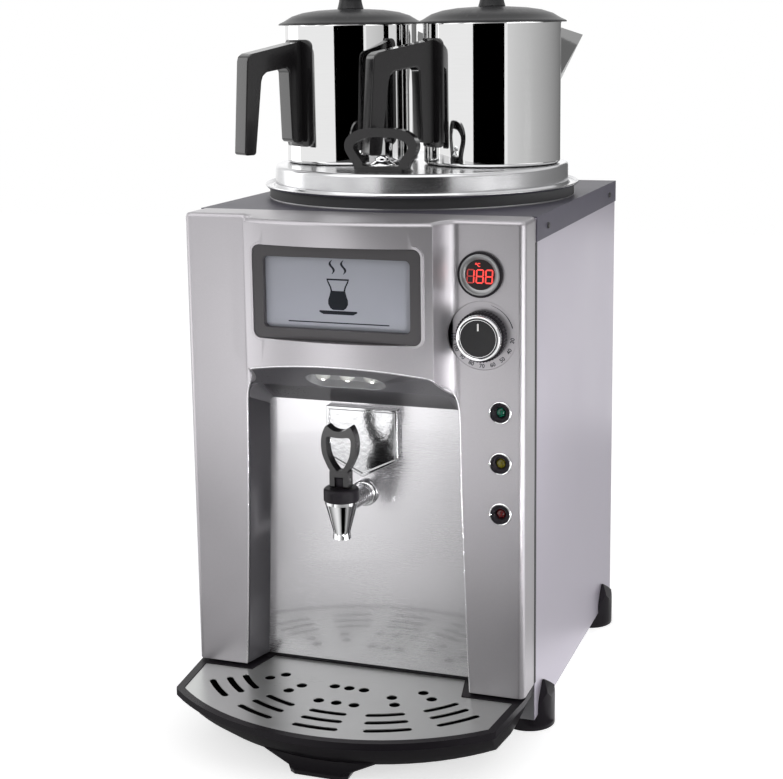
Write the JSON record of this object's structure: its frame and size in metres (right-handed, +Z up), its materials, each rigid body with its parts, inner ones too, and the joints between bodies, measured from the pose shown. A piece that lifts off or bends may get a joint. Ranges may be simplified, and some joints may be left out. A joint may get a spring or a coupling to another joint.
{
  "type": "hot water urn",
  "caption": "Box-shaped hot water urn with a lit sign, dial thermostat, lever tap over a drip tray, and a round boiler lid that carries serving pots.",
  "frame": {"origin": "middle of the footprint, on the surface that the urn stands on", "axes": "+Z up, +Y from the tap to the back panel, +X to the right as seen from the front (the controls' side)"},
  "size_m": [0.384, 0.587, 0.7741],
  "materials": {
    "silver_side": "satin lilac-silver paint",
    "slate_cover": "semi-gloss slate paint",
    "silver_front": "metallic silver, satin",
    "bay_grey": "semi-gloss dark grey",
    "brushed_plate": "brushed",
    "tap_chrome": "polished",
    "pot_steel": "mirror polished",
    "lid_steel": "polished and lightly brushed",
    "grille_steel": "brushed",
    "frame_steel": "zinc-plated sheet",
    "tank_steel": "satin",
    "black_plastic": "fine satin",
    "grip_grey": "satin",
    "frame_brown": "satin",
    "sign_panel": "translucent, satin",
    "lamp_white": "frosted",
    "display_red": "tinted",
    "lens_green": "tinted",
    "lens_amber": "tinted",
    "lens_red": "tinted",
    "seal_rubber": "matte",
    "wool": "felted",
    "board_green": "lacquered",
    "shank_brass": "machined",
    "cup_silicone": "matte"
  },
  "bodies": {
    "casing": {"chassis_base": "frame_steel", "chassis_front": "frame_steel", "left_side_panel": "silver_side", "right_side_panel": "silver_side", "rear_panel": "frame_steel", "top_cover": "slate_cover", "cover_screws": "tap_chrome", "corner_feet": "black_plastic", "cable_gland": "black_plastic", "front_fascia": "silver_front", "bay_liner": "bay_grey", "bay_back_plate": "brushed_plate", "hood_lamp_pan": "tap_chrome", "hood_lamps": "lamp_white", "window_frame": "frame_brown", "sign_panel": "sign_panel", "sign_backlight": "lamp_white", "display_bezel": "black_plastic", "display_lens": "display_red", "display_module": "black_plastic", "thermostat_body": "black_plastic", "lamp_bezels": "tap_chrome", "green_lens": "lens_green", "amber_lens": "lens_amber", "red_lens": "lens_red", "lamp_bodies": "black_plastic", "control_board": "board_green", "boiler_tank": "tank_steel", "insulation_jacket": "wool", "heating_element": "tank_steel", "dry_boil_cutout": "black_plastic", "rim_seal": "seal_rubber", "tap_shank": "shank_brass", "shank_nut": "shank_brass", "tap_flange": "tap_chrome", "tap_body": "tap_chrome", "tap_bonnet": "black_plastic", "emblem_plate": "tap_chrome"},
    "knob": {"thermostat_shaft": "tank_steel", "knob_skirt": "black_plastic", "knob_ring": "tap_chrome", "knob_cap": "black_plastic"},
    "plunger": {"tap_plunger": "tank_steel", "seat_cup": "cup_silicone", "lever_pin": "tank_steel"},
    "lever": {"tap_lever": "grip_grey"},
    "tray": {"drip_tray": "black_plastic"},
    "grille": {"drip_grille": "grille_steel"},
    "boiler_lid": {"lid_shell": "lid_steel", "lid_handle": "grip_grey", "lid_vent_cap": "tap_chrome"},
    "left_server": {"left_pot": "pot_steel", "left_pot_handle": "grip_grey"},
    "right_server": {"right_pot": "pot_steel", "right_pot_handle": "grip_grey"},
    "left_server_lid": {"left_pot_lid": "grip_grey", "left_pot_knob": "grip_grey"},
    "right_server_lid": {"right_pot_lid": "grip_grey", "right_pot_knob": "grip_grey"}
  },
  "joints": [
    {"name": "knob_turn", "type": "hinge", "parent": "casing", "child": "knob", "pos_m": [0.1378, -0.1575, 0.428], "axis": [0, 1, 0], "range_deg": [0, 270]},
    {"name": "plunger_lift", "type": "slide", "parent": "casing", "child": "plunger", "axis": [0, 0, 1], "range_m": [0, 0.004], "stiffness_N_per_m": 1200, "springref_m": -0.0015},
    {"name": "lever_tip", "type": "hinge", "parent": "plunger", "child": "lever", "pos_m": [0, -0.1815, 0.281], "axis": [1, 0, 0], "range_deg": [0, 45]},
    {"name": "tray_slide", "type": "slide", "parent": "casing", "child": "tray", "axis": [0, -1, 0], "range_m": [0, 0.12]},
    {"name": "grille_lift", "type": "slide", "parent": "tray", "child": "grille", "axis": [0, 0, 1], "range_m": [0, 0.1]},
    {"name": "boiler_lid_lift", "type": "slide", "parent": "casing", "child": "boiler_lid", "axis": [0, 0, 1], "range_m": [0, 0.1]},
    {"name": "left_server_lift", "type": "slide", "parent": "boiler_lid", "child": "left_server", "axis": [0, 0, 1], "range_m": [0, 0.15]},
    {"name": "right_server_lift", "type": "slide", "parent": "boiler_lid", "child": "right_server", "axis": [0, 0, 1], "range_m": [0, 0.15]},
    {"name": "left_server_lid_lift", "type": "slide", "parent": "left_server", "child": "left_server_lid", "axis": [0, 0, 1], "range_m": [0, 0.08]},
    {"name": "right_server_lid_lift", "type": "slide", "parent": "right_server", "child": "right_server_lid", "axis": [0, 0, 1], "range_m": [0, 0.08]}
  ],
  "couplings": [
    {"joint": "lever_tip", "follows": "plunger_lift", "rad_per_m": 196.34}
  ]
}
